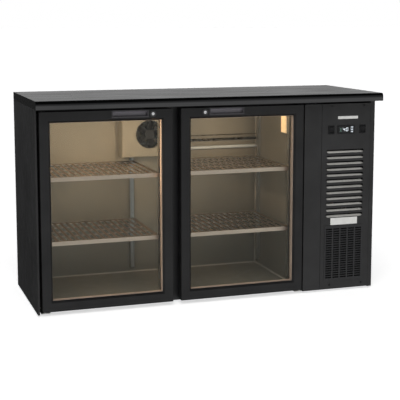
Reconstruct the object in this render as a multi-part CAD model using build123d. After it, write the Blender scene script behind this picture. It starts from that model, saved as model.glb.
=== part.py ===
from build123d import *
import math
import os

os.makedirs("parts", exist_ok=True)

# A low bottle cooler with two glass doors, and a machine bay on its right.
# While modelling, x runs from the cabinet's left face, y from the door fronts
# towards the back, and z up from the floor. write() moves each node so that the
# origin is at the centre of the whole footprint, on the floor. Millimetres.

# ---- driving dimensions
TOTAL_WIDTH = 1468.0        # worktop, end to end
TOTAL_HEIGHT = 850.0
BODY_WIDTH = 1453.0         # cabinet without the worktop's right overhang
BODY_DEPTH = 513.0          # door fronts to the rear edges of the sides
BACK = 510.0                # outer face of the back sheet
TOP_OVERHANG = 43.0         # worktop in front of the doors
TOP_THICK = 33.0
NOSE_RADIUS = 14.0
BODY_BOTTOM = 8.0           # underside of the base pan, on its feet
BODY_TOP = TOTAL_HEIGHT - TOP_THICK
SHEET = 1.0
SHIFT = (-TOTAL_WIDTH / 2, -(BODY_DEPTH - TOP_OVERHANG) / 2, 0)

# ---- storage part, symmetric about MIDDLE
MIDDLE = 571.0
FRAME_Y = 50.0              # plane that the gaskets close on
WALL_X = (46.0, 1096.0)     # inner faces of the liner
LINER_Z = (36.0, 775.0)
LINER_BACK = 469.0
OPENING_X = (56.0, 1086.0)
OPENING_Z = (48.0, 771.0)
BREAKER_DEPTH = 10.0
POST_HALF = 47.0            # half width of the post between the doors
POST_BACK = 92.0
STORE_RIGHT = 1137.0        # outside of the insulated right wall

# ---- doors
DOOR_X = 18.0               # left edge of the left door
DOOR_WIDTH = 536.0
DOOR_Z = (17.0, 805.0)
DOOR_DEPTH = 40.0
RAIL = 35.0                 # flat face of the door frame
BEVEL = 8.0
SIGHT = RAIL + BEVEL        # frame edge to visible glass
REBATE = 33.0               # frame edge to the glazing pocket
PANE = 4.0
PANE_GAP = 12.0
PANE_Y = 10.0
PIVOT = 10.0                # hinge pin from the door's edge and from its front
PIN_RADIUS = 4.0
RUNNING = 0.05              # radial clearance of pins and shafts
GASKET_INSET = 10.0
GASKET_WIDTH = 14.0
LOCK_Z = 787.0
LOCK_LEFT_X = 472.0
LOCK_RIGHT_X = 690.0
CAM_REACH = 26.5
GRIP_LENGTH = 146.0         # finger grip in the top rail, beside the lock
GRIP_TO_LOCK = 20.0
GRIP_Z = (775.5, 802.5)
GRIP_DEPTH = 15.0

# ---- shelves
SHELF_TOPS = (284.0, 541.0)
SHELF_Y = (60.0, 445.0)
SHELF_LIP = 17.0
SHELF_GAP = 12.0            # shelf end to wall or post
PILASTER = 10.0
LAMP_Y = (87.0, 142.0)
LAMP_Z = (678.0, 752.0)

# ---- evaporator, on the back wall behind the post
EVAP_X = (446.0, 696.0)
EVAP_Y = 400.0
EVAP_Z = (560.0, 760.0)
EVAP_FAN_Z = 660.0

# ---- machine bay
PANEL_X = (1128.6, 1432.2)
SEAM_X = (1206.0, 1207.4)   # between the fixed strip and the panel that comes off
PANEL_Z = (10.0, 806.0)
PANEL_SHEET = 1.2
FLANGE = 20.0               # front flange of the right side panel
LOUVRE_X = (1232.0, 1402.0)
LOUVRE_TOP = 602.0
LOUVRE_PITCH = 25.0
LOUVRES = 12
GRILLE_X = (1230.0, 1400.0)
GRILLE_Z = (50.0, 282.0)
CONTROL_Z = 696.5           # middle of the controller and the rockers
CONTROL_X = (1279.0, 1357.0)
CONTROL_HEIGHT = 35.0
BUTTON_X = 1345.0
BUTTON_SIZE = (12.0, 7.0)
BUTTON_PITCH = 9.5
ROCKER_X = (1250.0, 1396.0)
ROCKER_PIVOT_Y = 6.0
ROCKER_TILT = 8.0
COMPRESSOR = (1300.0, 380.0)
CONDENSER_X = (1172.0, 1412.0)
CONDENSER_Y = (70.0, 110.0)
CONDENSER_Z = (60.0, 290.0)
CONDENSER_FAN = (1292.0, 175.0)
PIPE_Y = 455.0
SUCTION_Z = 620.0
CAPILLARY_Z = 640.0
DRAIN_Z = 585.0
INLET_X = (1365.0, 1395.0)
INLET_Z = (78.0, 102.0)


# ---- small shapes
def block(x, y, z):
    """Box between the given pairs of coordinates."""
    size = [abs(pair[1] - pair[0]) for pair in (x, y, z)]
    middle = [(pair[0] + pair[1]) / 2 for pair in (x, y, z)]
    return Pos(*middle) * Box(*size)


def rod(start, end, radius):
    """Round bar from one point to another."""
    axis = Vector(*end) - Vector(*start)
    base = Plane(origin=start, z_dir=axis)
    return base * Cylinder(radius, axis.length, align=(Align.CENTER, Align.CENTER, Align.MIN))


def ring(x, y, z, width):
    """Rectangular frame seen from the front, with bars of one width."""
    inner_x = (x[0] + width, x[1] - width)
    inner_z = (z[0] + width, z[1] - width)
    return block(x, y, z) - block(inner_x, y, inner_z)


def prism_x(outline, x):
    """Outline of (y, z) points, extruded along x."""
    face = Plane.YZ.offset(x[0]) * make_face(Polyline(*outline, close=True))
    return extrude(face, amount=x[1] - x[0])


def prism_z(outline, z):
    """Outline of (x, y) points, extruded along z."""
    face = Plane.XY.offset(z[0]) * make_face(Polyline(*outline, close=True))
    return extrude(face, amount=z[1] - z[0])


def tube_run(points, radius, bend):
    """Round bar along straight runs joined by arcs."""
    path = FilletPolyline(*points, radius=bend)
    return sweep(Plane(origin=path @ 0, z_dir=path % 0) * Circle(radius), path=path)


def mirrored(shape):
    """The same piece on the other side of the storage part."""
    return Pos(2 * MIDDLE, 0, 0) * mirror(shape, about=Plane.YZ)


def both_sides(shape):
    return [shape, mirrored(shape)]


def write(name, *shapes):
    """Write one node; several shapes stay separate solids."""
    solids = [Pos(*SHIFT) * solid for shape in shapes for solid in shape.solids()]
    node = solids[0] if len(solids) == 1 else Compound(children=solids)
    export_step(node, f"parts/{name}.step")


# ---- cabinet
def side_panel_left():
    lip, back = 8.0, BODY_DEPTH
    outline = [(0, 0), (lip, 0), (lip, FRAME_Y), (lip - SHEET, FRAME_Y), (lip - SHEET, SHEET),
               (SHEET, SHEET), (SHEET, back), (0, back)]
    panel = prism_z(outline, (BODY_BOTTOM, BODY_TOP))
    corners = panel.edges().filter_by(Axis.Z).sort_by(Axis.Y)[:2]
    return fillet(corners, 1.4)


def side_panel_right():
    outer, inner = BODY_WIDTH, BODY_WIDTH - FLANGE
    outline = [(outer, 0), (outer, BODY_DEPTH), (outer - SHEET, BODY_DEPTH), (outer - SHEET, SHEET),
               (inner + SHEET, SHEET), (inner + SHEET, FLANGE), (inner, FLANGE), (inner, 0)]
    panel = prism_z(outline, (BODY_BOTTOM, BODY_TOP))
    corner = panel.edges().filter_by(Axis.Z).sort_by(Axis.Y)[:2].sort_by(Axis.X)[-1]
    return fillet(corner, 1.4)


def back_panel():
    """Sheet behind the storage part, and a vented one that laps over it behind the machine bay."""
    y, lap_y, z = (BACK - SHEET, BACK), (BACK, BACK + SHEET), (BODY_BOTTOM, BODY_TOP)
    storage = block((SHEET, STORE_RIGHT + 20), y, z)
    bay = block((STORE_RIGHT + 3, BODY_WIDTH - SHEET), lap_y, z)
    slots = []
    for column in (1180, 1300):
        for row in range(14):
            low = 330 + 28 * row
            slots.append(block((column, column + 90), lap_y, (low, low + 8)))
    holes = [rod((sx, y[0], sz), (sx, lap_y[1], sz), 2.1) for sx, sz, _ in back_screw_places()]
    return [storage - holes, bay - slots - holes - block(INLET_X, lap_y, INLET_Z)]


def base_pan():
    z = (BODY_BOTTOM, BODY_BOTTOM + 1.5)
    floor = block((SHEET, BODY_WIDTH - SHEET), (FRAME_Y + SHEET, BACK - SHEET), z)
    bay = block((STORE_RIGHT + SHEET, BODY_WIDTH - SHEET), (FLANGE, FRAME_Y + SHEET), z)
    return floor + bay


def levelling_feet():
    feet = []
    for x in (60, 720, 1390):
        for y in (110, 450):
            pad = Pos(x, y, 0) * Cone(19, 15, 5, align=(Align.CENTER, Align.CENTER, Align.MIN))
            feet.append(pad + rod((x, y, 4), (x, y, BODY_BOTTOM), 7))
    return feet


def pipe_holes(x):
    """Bars to cut where the pipes go through the right wall."""
    places = ((SUCTION_Z, 5.5), (CAPILLARY_Z, 2.0), (DRAIN_Z, 7.5))
    return [rod((x[0], PIPE_Y, z), (x[1], PIPE_Y, z), radius) for z, radius in places]


def insulation():
    outer = block((SHEET, STORE_RIGHT), (FRAME_Y + SHEET, BACK - SHEET), (BODY_BOTTOM + 1.5, BODY_TOP))
    cavity = block((WALL_X[0] - SHEET, WALL_X[1] + SHEET), (FRAME_Y + SHEET, LINER_BACK + SHEET),
                   (LINER_Z[0] - SHEET, LINER_Z[1] + SHEET))
    return outer - cavity - pipe_holes((WALL_X[1], STORE_RIGHT + 1))


def inner_liner():
    outer = block((WALL_X[0] - SHEET, WALL_X[1] + SHEET), (FRAME_Y + SHEET, LINER_BACK + SHEET),
                  (LINER_Z[0] - SHEET, LINER_Z[1] + SHEET))
    inner = block(WALL_X, (FRAME_Y + SHEET, LINER_BACK), LINER_Z)
    return outer - inner - pipe_holes((WALL_X[1] - 1, WALL_X[1] + 2))


def front_frame():
    plate = block((SHEET, STORE_RIGHT + SHEET), (FRAME_Y, FRAME_Y + SHEET), (BODY_BOTTOM, BODY_TOP))
    breaker = block(WALL_X, (FRAME_Y + SHEET, FRAME_Y + SHEET + BREAKER_DEPTH), LINER_Z)
    opening = block(OPENING_X, (FRAME_Y, FRAME_Y + SHEET + BREAKER_DEPTH), OPENING_Z)
    holes = [rod((x, FRAME_Y, z), (x, FRAME_Y + SHEET, z), 2.1) for x, z in bracket_screw_places()]
    return plate + breaker - opening - holes


def center_post():
    step = FRAME_Y + SHEET + BREAKER_DEPTH
    x = (MIDDLE - POST_HALF, MIDDLE + POST_HALF)
    front = block(x, (FRAME_Y, step), OPENING_Z)
    rear = block(x, (step, POST_BACK), LINER_Z)
    post = front + rear
    corners = post.edges().filter_by(Axis.Z).sort_by(Axis.Y)[-2:]
    return fillet(corners, 4)


def machine_wall():
    wall = block((STORE_RIGHT, STORE_RIGHT + SHEET), (FRAME_Y + SHEET, BACK - SHEET),
                 (BODY_BOTTOM + 1.5, BODY_TOP))
    return wall - pipe_holes((STORE_RIGHT - 1, STORE_RIGHT + 2))


# ---- worktop
def worktop_block(inset, x):
    """Slab with the rounded front nose, inset from the outer surface."""
    slab = block(x, (-TOP_OVERHANG + inset, BODY_DEPTH - inset), (BODY_TOP, TOTAL_HEIGHT - inset))
    nose = slab.edges().filter_by(Axis.X).sort_by(Axis.Z)[-2:].sort_by(Axis.Y)[0]
    return fillet(nose, NOSE_RADIUS - inset)


def worktop():
    """Folded skin with end caps, and the board that fills it."""
    skin_sheet, hem = 1.2, 24.0
    inner_x = (skin_sheet, TOTAL_WIDTH - skin_sheet)
    core = worktop_block(skin_sheet, inner_x)
    hem_block = block(inner_x, (-TOP_OVERHANG, -TOP_OVERHANG + hem), (BODY_TOP, BODY_TOP + skin_sheet))
    core -= hem_block
    skin = worktop_block(0, (0, TOTAL_WIDTH)) - core
    return skin, core


# ---- door pieces, for the left door
def door_x():
    return DOOR_X, DOOR_X + DOOR_WIDTH


def inset_pairs(inset):
    """Door outline seen from the front, inset on all four sides."""
    x = (DOOR_X + inset, DOOR_X + DOOR_WIDTH - inset)
    z = (DOOR_Z[0] + inset, DOOR_Z[1] - inset)
    return x, z


def bevel_cut():
    """Opening that widens from the glass towards the front."""
    x, z = inset_pairs(SIGHT)
    middle = ((x[0] + x[1]) / 2, (z[0] + z[1]) / 2)
    face = Plane.XZ.offset(-BEVEL) * Pos(*middle) * Rectangle(x[1] - x[0], z[1] - z[0])
    return extrude(face, amount=BEVEL, taper=-45)


def door_frame(lock_x):
    sight_x, sight_z = inset_pairs(SIGHT)
    pocket_x, pocket_z = inset_pairs(REBATE)
    frame = block(door_x(), (0, DOOR_DEPTH), DOOR_Z)
    corners = frame.edges().filter_by(Axis.Z).sort_by(Axis.Y)[:2]
    frame = fillet(corners, 2.5)
    frame = frame - block(sight_x, (0, DOOR_DEPTH), sight_z) - bevel_cut()
    frame = frame - block(pocket_x, (PANE_Y, DOOR_DEPTH), pocket_z)
    frame = frame - rod((lock_x, 0, LOCK_Z), (lock_x, 26, LOCK_Z), 9.5)
    frame = frame - block((lock_x - 9, lock_x + 28), (26, 31.6), (LOCK_Z - 10, DOOR_Z[1]))
    frame = frame - block(grip_x(lock_x), (0, GRIP_DEPTH), GRIP_Z)
    x, y = DOOR_X + PIVOT, PIVOT
    bore = PIN_RADIUS + RUNNING
    frame = frame - rod((x, y, DOOR_Z[0]), (x, y, 36), bore) - rod((x, y, 36), (x, y, 345), 4.5)
    return frame - rod((x, y, 786), (x, y, DOOR_Z[1]), bore)


def grip_x(lock_x):
    return lock_x - GRIP_TO_LOCK - GRIP_LENGTH, lock_x - GRIP_TO_LOCK


def grip_insert(lock_x):
    """Moulded finger grip: a scoop with a lip at its lower edge to pull on."""
    x, z = grip_x(lock_x), GRIP_Z
    shell = block(x, (0, GRIP_DEPTH), z)
    shell += block((x[0] - 2, x[1] + 2), (-0.8, 0), (z[0] - 1.5, z[1] + 1.5))
    scoop = [(-0.8, z[0] + 4.5), (3, z[0] + 4.5), (3, z[0] + 2), (11, z[0] + 2), (12.5, z[0] + 6.5),
             (12.5, z[1] - 7.5), (8, z[1] - 3), (-0.8, z[1] - 3)]
    return shell - prism_x(scoop, (x[0] + 2.5, x[1] - 2.5))


def glass_panes():
    x, z = inset_pairs(REBATE + 1)
    rear = PANE_Y + PANE + PANE_GAP
    return [block(x, (PANE_Y, PANE_Y + PANE), z), block(x, (rear, rear + PANE), z)]


def glass_spacer():
    x, z = inset_pairs(REBATE + 3)
    return ring(x, (PANE_Y + PANE, PANE_Y + PANE + PANE_GAP), z, 8.5)


def glazing_bead():
    x, z = inset_pairs(REBATE)
    rear_of_glass = PANE_Y + 2 * PANE + PANE_GAP
    return ring(x, (rear_of_glass, DOOR_DEPTH - 2), z, SIGHT - REBATE)


def door_gasket():
    x, z = inset_pairs(GASKET_INSET)
    base = ring(x, (DOOR_DEPTH, DOOR_DEPTH + 3), z, GASKET_WIDTH)
    neck_x, neck_z = inset_pairs(GASKET_INSET + 3)
    neck = ring(neck_x, (DOOR_DEPTH + 3, DOOR_DEPTH + 6), neck_z, GASKET_WIDTH - 6)
    lip_x, lip_z = inset_pairs(GASKET_INSET + 1)
    lip = ring(lip_x, (DOOR_DEPTH + 6, DOOR_DEPTH + 9.5), lip_z, GASKET_WIDTH - 2)
    return base + neck + lip


def lock_barrel(lock_x):
    body = rod((lock_x, 0, LOCK_Z), (lock_x, 25, LOCK_Z), 9.4)
    flange = rod((lock_x, -2, LOCK_Z), (lock_x, 0, LOCK_Z), 13)
    rim = flange.faces().sort_by(Axis.Y)[0].edges()
    flange = fillet(rim, 1.0)
    return body + flange - rod((lock_x, -2, LOCK_Z), (lock_x, 25, LOCK_Z), 6 + RUNNING)


def lock_plug(lock_x):
    plug = rod((lock_x, -1.6, LOCK_Z), (lock_x, 27, LOCK_Z), 6)
    return plug - block((lock_x - 4, lock_x + 4), (-1.6, 1.5), (LOCK_Z - 0.7, LOCK_Z + 0.7))


def lock_cam(lock_x):
    """Flat tongue that points along the rail when unlocked."""
    hub = rod((lock_x, 27, LOCK_Z), (lock_x, 29.5, LOCK_Z), 7)
    tongue = block((lock_x, lock_x + CAM_REACH), (27, 29.5), (LOCK_Z - 5, LOCK_Z + 5))
    screw = rod((lock_x, 29.5, LOCK_Z), (lock_x, 31, LOCK_Z), 3.5)
    return hub + tongue + screw


def closer_bar():
    """Torsion bar above the lower pin, with its anchor head."""
    x, y = DOOR_X + PIVOT, PIVOT
    return rod((x, y, 36), (x, y, 335), 2.5) + rod((x, y, 335), (x, y, 345), 4.5)


# ---- door hardware on the cabinet
def bracket_screw_places():
    left = [(18.0, 18.5), (40.0, 18.5), (18.0, 804.0), (40.0, 804.0)]
    return left + [(2 * MIDDLE - x, z) for x, z in left]


def hinge_bracket(plate_z, leg_z, pin_z, collar_z):
    x = (14, 50)
    pin_x, pin_y = DOOR_X + PIVOT, PIVOT
    plate = block(x, (2, FRAME_Y), plate_z)
    plate = fillet(plate.edges().filter_by(Axis.Z).sort_by(Axis.Y)[:2], 5)
    leg = block(x, (FRAME_Y - 3, FRAME_Y), leg_z)
    pin = rod((pin_x, pin_y, pin_z[0]), (pin_x, pin_y, pin_z[1]), PIN_RADIUS)
    collar = rod((pin_x, pin_y, collar_z[0]), (pin_x, pin_y, collar_z[1]), 7)
    holes = [rod((sx, FRAME_Y - 3, sz), (sx, FRAME_Y, sz), 2.1)
             for sx, sz in bracket_screw_places() if leg_z[0] < sz < leg_z[1]]
    return plate + leg + pin + collar - holes


def keeper(lock_x):
    """Small angle under the worktop that the cam turns up behind; its foot points forwards."""
    x = (lock_x - 16, lock_x + 16)
    leg = block(x, (21, 24), (807.5, BODY_TOP))
    return leg + block(x, (5, 24), (BODY_TOP - 2, BODY_TOP))


def brackets():
    lower = hinge_bracket((11, 14), (11, 26), (11, 34), (14, 16.5))
    upper = hinge_bracket((808, 811), (797, 811), (788, 811), (805.5, 808))
    return both_sides(lower) + both_sides(upper) + [keeper(LOCK_LEFT_X), keeper(LOCK_RIGHT_X)]


def screw(x, y, z, length):
    """Pan head screw; y is the face that its head sits on."""
    head = rod((x, y - 1.8, z), (x, y, z), 4)
    head = fillet(head.faces().sort_by(Axis.Y)[0].edges(), 1.0)
    recess = block((x - 2, x + 2), (y - 1.8, y - 0.8), (z - 0.4, z + 0.4))
    recess += block((x - 0.4, x + 0.4), (y - 1.8, y - 0.8), (z - 2, z + 2))
    return head + rod((x, y, z), (x, y + length, z), 2) - recess


def panel_screw_places():
    return [(x, z) for x in (1253.0, 1403.0) for z in (28.0, 797.0)]


def back_screw_places():
    """(x, z, face) of the screws in both back sheets."""
    storage = [(30.0 + 215 * step, z, BACK) for step in range(6) for z in (24.0, 801.0)]
    bay = [(x, z, BACK + SHEET) for x in (1148.5, 1440.0) for z in (24.0, 283.0, 542.0, 801.0)]
    return storage + bay + [(1294.0, z, BACK + SHEET) for z in (24.0, 801.0)]


def screws():
    hinge = [screw(x, FRAME_Y - 3, z, 3.5) for x, z in bracket_screw_places()]
    panel = [screw(x, 0, z, 10) for x, z in panel_screw_places()]
    back = [Pos(x, face, z) * Rot(0, 0, 180) * screw(0, 0, 0, face - BACK + SHEET)
            for x, z, face in back_screw_places()]
    return hinge + panel + back


# ---- interior, for the left bay
def shelf(top):
    """Slotted sheet with a folded front lip."""
    x = (WALL_X[0] + SHELF_GAP, MIDDLE - POST_HALF - SHELF_GAP)
    plate = block(x, SHELF_Y, (top - 2, top))
    lip = block(x, (SHELF_Y[0], SHELF_Y[0] + 2), (top - SHELF_LIP, top))
    back = block(x, (SHELF_Y[1] - 2, SHELF_Y[1]), (top - 8, top))
    slots = []
    for column in range(16):
        slot_x = x[0] + 17 + 27 * column
        for row in range(4):
            slot_y = SHELF_Y[0] + 20 + 88 * row
            slots.append(block((slot_x, slot_x + 15), (slot_y, slot_y + 76), (top - 2, top)))
    return plate + lip + back - slots


def wall_pilaster(face_x, y):
    """Strip on a side face, standing PILASTER off it towards +x, with a slot each pitch."""
    bar = block((face_x, face_x + PILASTER), y, (60, 760))
    middle = (y[0] + y[1]) / 2
    cuts = [block((face_x + PILASTER - 3, face_x + PILASTER), (middle - 5, middle + 5), (z, z + 4))
            for z in range(80, 750, 25)]
    return bar - cuts


def post_pilaster():
    """Strip on the left flank of the post."""
    x1 = MIDDLE - POST_HALF
    bar = block((x1 - PILASTER, x1), (63, 83), (60, 760))
    cuts = [block((x1 - PILASTER, x1 - PILASTER + 3), (68, 78), (z, z + 4)) for z in range(80, 750, 25)]
    return bar - cuts


def back_pilaster():
    """Strip on the back wall, below the evaporator."""
    y = (LINER_BACK - PILASTER, LINER_BACK)
    bar = block((496, 512), y, (60, 555))
    cuts = [block((499, 509), (y[0], y[0] + 3), (z, z + 4)) for z in range(80, 550, 25)]
    return bar - cuts


def shelf_clips(top):
    """Four clips under one shelf."""
    z = (top - 10, top - 2)
    wall, post = WALL_X[0] + PILASTER, MIDDLE - POST_HALF - PILASTER
    front = block((wall, wall + 12), (65, 81), z)
    rear = block((wall, wall + 12), (417, 433), z)
    inner = block((post - 12, post), (65, 81), z)
    back = block((498, 510), (437, LINER_BACK - PILASTER), (top - 18, top - 10))
    back += block((498, 510), (437, 442), z)
    return [front, rear, inner, back]


def lamp_housing():
    """Body of the lamp on the left wall."""
    x = (WALL_X[0], WALL_X[0] + 12)
    body = block(x, (LAMP_Y[0] - 3, LAMP_Y[1] + 3), (LAMP_Z[0] - 3, LAMP_Z[1] + 3))
    body = chamfer(body.faces().sort_by(Axis.X)[-1].edges(), 2)
    return body


def lamp_lens():
    x = (WALL_X[0] + 12, WALL_X[0] + 15)
    lens = block(x, (LAMP_Y[0], LAMP_Y[1]), LAMP_Z)
    return chamfer(lens.faces().sort_by(Axis.X)[-1].edges(), 1.5)


# ---- evaporator
def evaporator_cover():
    wall = 1.5
    outer = block(EVAP_X, (EVAP_Y, LINER_BACK), EVAP_Z)
    front = outer.faces().sort_by(Axis.Y)[0].edges()
    outer = fillet(front, 6)
    inner = block((EVAP_X[0] + wall, EVAP_X[1] - wall), (EVAP_Y + wall, LINER_BACK),
                  (EVAP_Z[0] + wall, EVAP_Z[1] - wall))
    inner = fillet(inner.faces().sort_by(Axis.Y)[0].edges(), 4.5)
    mouth = rod((MIDDLE, EVAP_Y, EVAP_FAN_Z), (MIDDLE, EVAP_Y + wall, EVAP_FAN_Z), 62)
    slots = [block((x, x + 5), (EVAP_Y + 20, LINER_BACK - 12), (EVAP_Z[0], EVAP_Z[0] + wall))
             for x in range(470, 670, 14)]
    return outer - inner - mouth - slots - pipe_holes((EVAP_X[1] - 3, EVAP_X[1] + 1))


def finned_coil(x, y, z, pitch, tube_rows):
    """Block of upright fins on horizontal tubes."""
    fins = []
    for index in range(int((x[1] - x[0]) // pitch) + 1):
        fin_x = x[0] + index * pitch
        fins.append(block((fin_x, fin_x + 0.8), y, z))
    spacing = (z[1] - z[0]) / tube_rows
    middle = (y[0] + y[1]) / 2
    tubes = [rod((x[0], middle, z[0] + spacing * (row + 0.5)), (x[1], middle, z[0] + spacing * (row + 0.5)), 4)
             for row in range(tube_rows)]
    return Part() + fins + tubes


def fan_motor(center_x, center_z, plate_y, motor_y, shaft_end, motor_radius, arm_reach):
    """Motor with its shaft, carried by a four-armed bracket with guard rings."""
    motor = rod((center_x, motor_y[0], center_z), (center_x, motor_y[1], center_z), motor_radius)
    shaft = rod((center_x, motor_y[0], center_z), (center_x, shaft_end, center_z), 3)
    hub = rod((center_x, plate_y[0], center_z), (center_x, plate_y[1], center_z), motor_radius)
    body = motor + shaft + hub
    for turn in (45, 135):
        arm = block((-arm_reach, arm_reach), plate_y, (-3, 3))
        body += Pos(center_x, 0, center_z) * Rot(0, turn, 0) * arm
    for share in (0.62, 0.84):
        outer = rod((center_x, plate_y[0], center_z), (center_x, plate_y[1], center_z), arm_reach * share + 1.2)
        inner = rod((center_x, plate_y[0], center_z), (center_x, plate_y[1], center_z), arm_reach * share - 1.2)
        body += outer - inner
    return body


def fan_rotor(center_x, center_z, y, radius, hub_radius, blades):
    """Hub with pitched blades, bored for the shaft."""
    middle = (y[0] + y[1]) / 2
    half = (y[1] - y[0]) / 2
    hub = Cylinder(hub_radius, 2 * half)
    rotor = Part() + hub
    blade_chord = radius * 0.62
    for index in range(blades):
        blade = Pos(radius / 2 + 2, 0, 0) * Rot(25, 0, 0) * Box(radius, blade_chord, 1.6)
        rotor += Rot(0, 0, 360 / blades * index) * blade
    rotor = rotor & Cylinder(radius, 2 * half)
    rotor = rotor - Cylinder(3 + RUNNING, 2 * half)
    return Pos(center_x, middle, center_z) * Rot(90, 0, 0) * rotor


# ---- machine bay
def compressor():
    x, y = COMPRESSOR
    shell = rod((x, y, 34), (x, y, 170), 75)
    shell = fillet(shell.edges().filter_by(GeomType.CIRCLE), 28)
    plate = block((x - 95, x + 95), (y - 60, y + 60), (24, 27))
    skirt = rod((x, y, 27), (x, y, 60), 50)
    box = block((x - 25, x + 25), (y - 98, y - 60), (70, 130))
    return shell + plate + skirt + box


def compressor_feet():
    x, y = COMPRESSOR
    return [rod((x + dx, y + dy, BODY_BOTTOM + 1.5), (x + dx, y + dy, 24), 12)
            for dx in (-80, 80) for dy in (-45, 45)]


def condenser():
    return finned_coil(CONDENSER_X, CONDENSER_Y, CONDENSER_Z, 10, 8)


def condenser_shroud():
    """Plate behind the condenser with a round mouth, and the motor across it."""
    x, z = CONDENSER_FAN
    y = (CONDENSER_Y[1], CONDENSER_Y[1] + 2)
    plate = block(CONDENSER_X, y, CONDENSER_Z) - rod((x, y[0], z), (x, y[1], z), 86)
    return plate + fan_motor(x, z, y, (y[1], 138), 160, 30, 92)


def refrigerant_pipes():
    coil_x = EVAP_X[1] - 12
    suction = tube_run([(coil_x, PIPE_Y, SUCTION_Z), (1200, PIPE_Y, SUCTION_Z), (1200, PIPE_Y, 230),
                        (1270, 395, 230), (1270, 395, 170)], 5, 20)
    discharge = tube_run([(1330, 395, 170), (1330, 395, 330), (1390, 330, 330), (1390, 90, 330),
                          (1390, 90, CONDENSER_Z[1])], 4, 18)
    liquid = tube_run([(CONDENSER_X[0], 90, 75), (1155, 90, 75), (1155, 250, 75), (1155, 250, 125)], 3, 12)
    drier = rod((1155, 250, 120), (1155, 250, 240), 11)
    drier = fillet(drier.edges().filter_by(GeomType.CIRCLE), 5)
    capillary = tube_run([(1155, 250, 236), (1155, 250, CAPILLARY_Z), (1155, PIPE_Y, CAPILLARY_Z),
                          (coil_x, PIPE_Y, CAPILLARY_Z)], 1.5, 15)
    return [suction, discharge, liquid + drier + capillary]


def drain_tube():
    path = [(EVAP_X[1] - 12, PIPE_Y, DRAIN_Z), (1176, PIPE_Y, DRAIN_Z), (1176, PIPE_Y, 22)]
    return tube_run(path, 7, 20)


def louvre(z_low):
    """Slot above a lip that slopes in and up."""
    outline = [(0, z_low), (8, z_low + 7), (8, z_low + 5.6), (PANEL_SHEET, z_low - 0.6), (0, z_low - 0.6)]
    return prism_x(outline, LOUVRE_X)


def folded_sheet(x):
    """Front sheet with all four edges folded back."""
    z, t, fold = PANEL_Z, PANEL_SHEET, (0, 18)
    sheet = block(x, (0, t), z)
    sheet += block((x[0], x[0] + t), fold, z) + block((x[1] - t, x[1]), fold, z)
    return sheet + block(x, fold, (z[0], z[0] + t)) + block(x, fold, (z[1] - t, z[1]))


def machine_panel():
    """Fixed strip beside the door, and the louvred panel that comes off."""
    t = PANEL_SHEET
    strip = folded_sheet((PANEL_X[0], SEAM_X[0]))
    strip += block((PANEL_X[0], PANEL_X[0] + t), (0, FRAME_Y), PANEL_Z)
    panel = folded_sheet((SEAM_X[1], PANEL_X[1]))
    cuts = [rod((sx, 0, sz), (sx, t, sz), 2.1) for sx, sz in panel_screw_places()]
    cuts.append(block(GRILLE_X, (0, t), GRILLE_Z))
    cuts.append(block((CONTROL_X[0] + 3, CONTROL_X[1] - 3), (0, t), span(CONTROL_Z, CONTROL_HEIGHT - 6)))
    cuts += [block(span(center, 25), (0, t), span(CONTROL_Z, 33)) for center in ROCKER_X]
    lows = [LOUVRE_TOP - 3.5 - LOUVRE_PITCH * index for index in range(LOUVRES)]
    cuts += [block(LOUVRE_X, (0, t), (low, low + 13)) for low in lows]
    panel = panel - cuts
    return strip, panel + [louvre(low) for low in lows]


def span(middle, width):
    """Pair of coordinates about a middle."""
    return middle - width / 2, middle + width / 2


def filter_grille():
    """Clip-in frame with five columns of thin slots."""
    y = (-1.5, 7.0)
    flange = block((GRILLE_X[0] - 4, GRILLE_X[1] + 4), (-1.5, 0), (GRILLE_Z[0] - 4, GRILLE_Z[1] + 4))
    body = block(GRILLE_X, y, GRILLE_Z)
    rib, columns = 6.0, 5
    width = (GRILLE_X[1] - GRILLE_X[0] - 4 - rib * (columns - 1)) / columns
    slots = []
    for column in range(columns):
        x = GRILLE_X[0] + 2 + column * (width + rib)
        for row in range(22):
            z = GRILLE_Z[0] + 8 + 10 * row
            slots.append(block((x, x + width), y, (z, z + 5.5)))
    return flange + body - slots


# ---- controls
def thermostat_case():
    bezel = block(CONTROL_X, (-2, 0), span(CONTROL_Z, CONTROL_HEIGHT))
    bezel = fillet(bezel.edges().filter_by(Axis.Y), 3)
    body = block((CONTROL_X[0] + 3, CONTROL_X[1] - 3), (0, 55), span(CONTROL_Z, CONTROL_HEIGHT - 6))
    window = block((CONTROL_X[0] + 6, CONTROL_X[0] + 54), (-2, -1), span(CONTROL_Z, 25))
    wells = [block(span(BUTTON_X, BUTTON_SIZE[0] + 0.6), (-2, 2), span(z, BUTTON_SIZE[1] + 0.6))
             for z in button_heights()]
    return bezel + body - window - wells


def thermostat_window():
    return block((CONTROL_X[0] + 6, CONTROL_X[0] + 54), (-2.3, -1), span(CONTROL_Z, 25))


def button_heights():
    return [CONTROL_Z + BUTTON_PITCH * step for step in (1, 0, -1)]


def button(z):
    cap = block(span(BUTTON_X, BUTTON_SIZE[0]), (-3.2, 0.6), span(z, BUTTON_SIZE[1]))
    return fillet(cap.faces().sort_by(Axis.Y)[0].edges(), 0.8)


def rocker_frame(center):
    bezel = block(span(center, 28), (-2, 0), span(CONTROL_Z, 36))
    bezel = fillet(bezel.edges().filter_by(Axis.Y), 2)
    body = block(span(center, 25), (0, 22), span(CONTROL_Z, 33))
    well = block(span(center, 20), (-2, 16), span(CONTROL_Z, 28))
    pin = rod((center - 11.3, ROCKER_PIVOT_Y, CONTROL_Z), (center + 11.3, ROCKER_PIVOT_Y, CONTROL_Z),
              1.5 + RUNNING)
    return bezel + body - well - pin


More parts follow.
